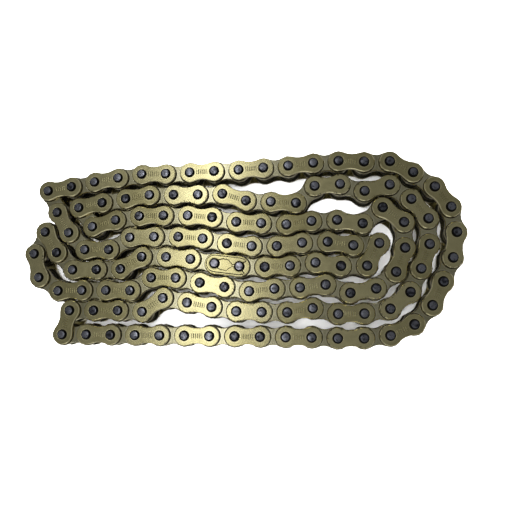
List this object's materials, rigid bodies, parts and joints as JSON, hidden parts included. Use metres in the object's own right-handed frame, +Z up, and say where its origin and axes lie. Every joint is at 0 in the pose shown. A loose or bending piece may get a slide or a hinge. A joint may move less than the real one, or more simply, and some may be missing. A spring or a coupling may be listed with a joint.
{
  "type": "drive chain",
  "caption": "Heavy motorcycle roller chain closed in a loop by a clip link, laid on its side in nested rows, with a free outer strand of hinged links.",
  "frame": {"origin": "centre of the chain's footprint, on the surface that the pin ends lie on", "axes": "+X along the rows, +Y across the rows towards the bowed outer row, +Z up along the pins"},
  "size_m": [0.2243, 0.0984, 0.0193],
  "materials": {
    "brass_plate": "brass-coloured plating, satin, lightly oiled",
    "pin_steel": "dark blued steel, flat ends",
    "roller_steel": "dark oiled steel",
    "clip_steel": "brass-coloured spring steel, satin"
  },
  "bodies": {
    "root": {"outer_row_links": "brass_plate", "row_7_links": "brass_plate", "row_2_and_turn_links": "brass_plate", "row_3_links": "brass_plate", "row_6_and_left_turn_links": "brass_plate", "row_5_and_row_4_links": "brass_plate", "inner_plate_lower": "brass_plate", "inner_plate_upper": "brass_plate", "bush_110": "pin_steel", "bush_111": "pin_steel", "connecting_back_plate": "brass_plate", "connecting_cover_plate": "brass_plate", "connecting_pin_111": "pin_steel", "connecting_pin_112": "pin_steel"},
    "inner_link_16": {"inner_link_16": "brass_plate"},
    "outer_link_17": {"outer_link_17": "brass_plate"},
    "inner_link_18": {"inner_link_18": "brass_plate"},
    "outer_link_19": {"outer_link_19": "brass_plate"},
    "inner_link_20": {"inner_link_20": "brass_plate"},
    "outer_link_21": {"outer_link_21": "brass_plate"},
    "inner_link_22": {"inner_link_22": "brass_plate"},
    "outer_link_23": {"outer_link_23": "brass_plate"},
    "inner_link_24": {"inner_link_24": "brass_plate"},
    "outer_link_25": {"outer_link_25": "brass_plate"},
    "inner_link_26": {"inner_link_26": "brass_plate"},
    "outer_link_27": {"outer_link_27": "brass_plate"},
    "inner_link_28": {"inner_link_28": "brass_plate"},
    "outer_link_29": {"outer_link_29": "brass_plate"},
    "inner_link_30": {"inner_link_30": "brass_plate"},
    "outer_link_31": {"outer_link_31": "brass_plate"},
    "inner_link_32": {"inner_link_32": "brass_plate"},
    "outer_link_33": {"outer_link_33": "brass_plate"},
    "inner_link_34": {"inner_link_34": "brass_plate"},
    "outer_link_35": {"outer_link_35": "brass_plate"},
    "inner_link_36": {"inner_link_36": "brass_plate"},
    "roller_16": {"roller_16": "roller_steel"},
    "roller_17": {"roller_17": "roller_steel"},
    "roller_18": {"roller_18": "roller_steel"},
    "roller_19": {"roller_19": "roller_steel"},
    "roller_20": {"roller_20": "roller_steel"},
    "roller_21": {"roller_21": "roller_steel"},
    "roller_22": {"roller_22": "roller_steel"},
    "roller_23": {"roller_23": "roller_steel"},
    "roller_24": {"roller_24": "roller_steel"},
    "roller_25": {"roller_25": "roller_steel"},
    "roller_26": {"roller_26": "roller_steel"},
    "roller_27": {"roller_27": "roller_steel"},
    "roller_28": {"roller_28": "roller_steel"},
    "roller_29": {"roller_29": "roller_steel"},
    "roller_30": {"roller_30": "roller_steel"},
    "roller_31": {"roller_31": "roller_steel"},
    "roller_32": {"roller_32": "roller_steel"},
    "roller_33": {"roller_33": "roller_steel"},
    "roller_34": {"roller_34": "roller_steel"},
    "roller_35": {"roller_35": "roller_steel"},
    "roller_36": {"roller_36": "roller_steel"},
    "roller_37": {"roller_37": "roller_steel"},
    "roller_110": {"roller_110": "roller_steel"},
    "roller_111": {"roller_111": "roller_steel"},
    "spring_clip": {"spring_clip": "clip_steel"}
  },
  "joints": [
    {"name": "pivot_16", "type": "hinge", "parent": "root", "child": "inner_link_16", "pos_m": [0.0869, 0.03794, 0], "axis": [0, 0, 1], "range_deg": [0, 24]},
    {"name": "pivot_17", "type": "hinge", "parent": "inner_link_16", "child": "outer_link_17", "pos_m": [0.09724, 0.03057, 0], "axis": [0, 0, 1], "range_deg": [0, 24]},
    {"name": "pivot_18", "type": "hinge", "parent": "outer_link_17", "child": "inner_link_18", "pos_m": [0.10484, 0.02039, 0], "axis": [0, 0, 1], "range_deg": [0, 24]},
    {"name": "pivot_19", "type": "hinge", "parent": "inner_link_18", "child": "outer_link_19", "pos_m": [0.10725, 0.00792, 0], "axis": [0, 0, 1], "range_deg": [0, 24]},
    {"name": "pivot_20", "type": "hinge", "parent": "outer_link_19", "child": "inner_link_20", "pos_m": [0.1052, -0.00461, 0], "axis": [0, 0, 1], "range_deg": [0, 24]},
    {"name": "pivot_21", "type": "hinge", "parent": "inner_link_20", "child": "outer_link_21", "pos_m": [0.10032, -0.01633, 0], "axis": [0, 0, 1], "range_deg": [0, 24]},
    {"name": "pivot_22", "type": "hinge", "parent": "outer_link_21", "child": "inner_link_22", "pos_m": [0.09492, -0.02783, 0], "axis": [0, 0, 1], "range_deg": [0, 24]},
    {"name": "pivot_23", "type": "hinge", "parent": "inner_link_22", "child": "outer_link_23", "pos_m": [0.08625, -0.03711, 0], "axis": [0, 0, 1], "range_deg": [0, 24]},
    {"name": "pivot_24", "type": "hinge", "parent": "outer_link_23", "child": "inner_link_24", "pos_m": [0.07479, -0.04257, 0], "axis": [0, 0, 1], "range_deg": [0, 24]},
    {"name": "pivot_25", "type": "hinge", "parent": "inner_link_24", "child": "outer_link_25", "pos_m": [0.06218, -0.04407, 0], "axis": [0, 0, 1], "range_deg": [0, 24]},
    {"name": "pivot_26", "type": "hinge", "parent": "outer_link_25", "child": "inner_link_26", "pos_m": [0.04948, -0.04431, 0], "axis": [0, 0, 1], "range_deg": [0, 24]},
    {"name": "pivot_27", "type": "hinge", "parent": "inner_link_26", "child": "outer_link_27", "pos_m": [0.03678, -0.044, 0], "axis": [0, 0, 1], "range_deg": [0, 24]},
    {"name": "pivot_28", "type": "hinge", "parent": "outer_link_27", "child": "inner_link_28", "pos_m": [0.02408, -0.044, 0], "axis": [0, 0, 1], "range_deg": [0, 24]},
    {"name": "pivot_29", "type": "hinge", "parent": "inner_link_28", "child": "outer_link_29", "pos_m": [0.01138, -0.044, 0], "axis": [0, 0, 1], "range_deg": [0, 24]},
    {"name": "pivot_30", "type": "hinge", "parent": "outer_link_29", "child": "inner_link_30", "pos_m": [-0.00132, -0.044, 0], "axis": [0, 0, 1], "range_deg": [0, 24]},
    {"name": "pivot_31", "type": "hinge", "parent": "inner_link_30", "child": "outer_link_31", "pos_m": [-0.01402, -0.044, 0], "axis": [0, 0, 1], "range_deg": [0, 24]},
    {"name": "pivot_32", "type": "hinge", "parent": "outer_link_31", "child": "inner_link_32", "pos_m": [-0.02672, -0.044, 0], "axis": [0, 0, 1], "range_deg": [0, 24]},
    {"name": "pivot_33", "type": "hinge", "parent": "inner_link_32", "child": "outer_link_33", "pos_m": [-0.03942, -0.044, 0], "axis": [0, 0, 1], "range_deg": [0, 24]},
    {"name": "pivot_34", "type": "hinge", "parent": "outer_link_33", "child": "inner_link_34", "pos_m": [-0.05212, -0.044, 0], "axis": [0, 0, 1], "range_deg": [0, 24]},
    {"name": "pivot_35", "type": "hinge", "parent": "inner_link_34", "child": "outer_link_35", "pos_m": [-0.06482, -0.044, 0], "axis": [0, 0, 1], "range_deg": [0, 24]},
    {"name": "pivot_36", "type": "hinge", "parent": "outer_link_35", "child": "inner_link_36", "pos_m": [-0.07752, -0.04401, 0], "axis": [0, 0, 1], "range_deg": [0, 24]},
    {"name": "spin_16", "type": "hinge", "parent": "inner_link_16", "child": "roller_16", "pos_m": [0.0869, 0.03794, 0], "axis": [0, 0, 1], "continuous": true},
    {"name": "spin_17", "type": "hinge", "parent": "inner_link_16", "child": "roller_17", "pos_m": [0.09724, 0.03057, 0], "axis": [0, 0, 1], "continuous": true},
    {"name": "spin_18", "type": "hinge", "parent": "inner_link_18", "child": "roller_18", "pos_m": [0.10484, 0.02039, 0], "axis": [0, 0, 1], "continuous": true},
    {"name": "spin_19", "type": "hinge", "parent": "inner_link_18", "child": "roller_19", "pos_m": [0.10725, 0.00792, 0], "axis": [0, 0, 1], "continuous": true},
    {"name": "spin_20", "type": "hinge", "parent": "inner_link_20", "child": "roller_20", "pos_m": [0.1052, -0.00461, 0], "axis": [0, 0, 1], "continuous": true},
    {"name": "spin_21", "type": "hinge", "parent": "inner_link_20", "child": "roller_21", "pos_m": [0.10032, -0.01633, 0], "axis": [0, 0, 1], "continuous": true},
    {"name": "spin_22", "type": "hinge", "parent": "inner_link_22", "child": "roller_22", "pos_m": [0.09492, -0.02783, 0], "axis": [0, 0, 1], "continuous": true},
    {"name": "spin_23", "type": "hinge", "parent": "inner_link_22", "child": "roller_23", "pos_m": [0.08625, -0.03711, 0], "axis": [0, 0, 1], "continuous": true},
    {"name": "spin_24", "type": "hinge", "parent": "inner_link_24", "child": "roller_24", "pos_m": [0.07479, -0.04257, 0], "axis": [0, 0, 1], "continuous": true},
    {"name": "spin_25", "type": "hinge", "parent": "inner_link_24", "child": "roller_25", "pos_m": [0.06218, -0.04407, 0], "axis": [0, 0, 1], "continuous": true},
    {"name": "spin_26", "type": "hinge", "parent": "inner_link_26", "child": "roller_26", "pos_m": [0.04948, -0.04431, 0], "axis": [0, 0, 1], "continuous": true},
    {"name": "spin_27", "type": "hinge", "parent": "inner_link_26", "child": "roller_27", "pos_m": [0.03678, -0.044, 0], "axis": [0, 0, 1], "continuous": true},
    {"name": "spin_28", "type": "hinge", "parent": "inner_link_28", "child": "roller_28", "pos_m": [0.02408, -0.044, 0], "axis": [0, 0, 1], "continuous": true},
    {"name": "spin_29", "type": "hinge", "parent": "inner_link_28", "child": "roller_29", "pos_m": [0.01138, -0.044, 0], "axis": [0, 0, 1], "continuous": true},
    {"name": "spin_30", "type": "hinge", "parent": "inner_link_30", "child": "roller_30", "pos_m": [-0.00132, -0.044, 0], "axis": [0, 0, 1], "continuous": true},
    {"name": "spin_31", "type": "hinge", "parent": "inner_link_30", "child": "roller_31", "pos_m": [-0.01402, -0.044, 0], "axis": [0, 0, 1], "continuous": true},
    {"name": "spin_32", "type": "hinge", "parent": "inner_link_32", "child": "roller_32", "pos_m": [-0.02672, -0.044, 0], "axis": [0, 0, 1], "continuous": true},
    {"name": "spin_33", "type": "hinge", "parent": "inner_link_32", "child": "roller_33", "pos_m": [-0.03942, -0.044, 0], "axis": [0, 0, 1], "continuous": true},
    {"name": "spin_34", "type": "hinge", "parent": "inner_link_34", "child": "roller_34", "pos_m": [-0.05212, -0.044, 0], "axis": [0, 0, 1], "continuous": true},
    {"name": "spin_35", "type": "hinge", "parent": "inner_link_34", "child": "roller_35", "pos_m": [-0.06482, -0.044, 0], "axis": [0, 0, 1], "continuous": true},
    {"name": "spin_36", "type": "hinge", "parent": "inner_link_36", "child": "roller_36", "pos_m": [-0.07752, -0.04401, 0], "axis": [0, 0, 1], "continuous": true},
    {"name": "spin_37", "type": "hinge", "parent": "inner_link_36", "child": "roller_37", "pos_m": [-0.09022, -0.04413, 0], "axis": [0, 0, 1], "continuous": true},
    {"name": "spin_110", "type": "hinge", "parent": "root", "child": "roller_110", "pos_m": [-0.0244, -0.00537, 0], "axis": [0, 0, 1], "continuous": true},
    {"name": "spin_111", "type": "hinge", "parent": "root", "child": "roller_111", "pos_m": [-0.01191, -0.00767, 0], "axis": [0, 0, 1], "continuous": true},
    {"name": "clip_slide", "type": "slide", "parent": "root", "child": "spring_clip", "axis": [-0.9928, 0.1202, 0], "range_m": [0, 0.0045]}
  ]
}
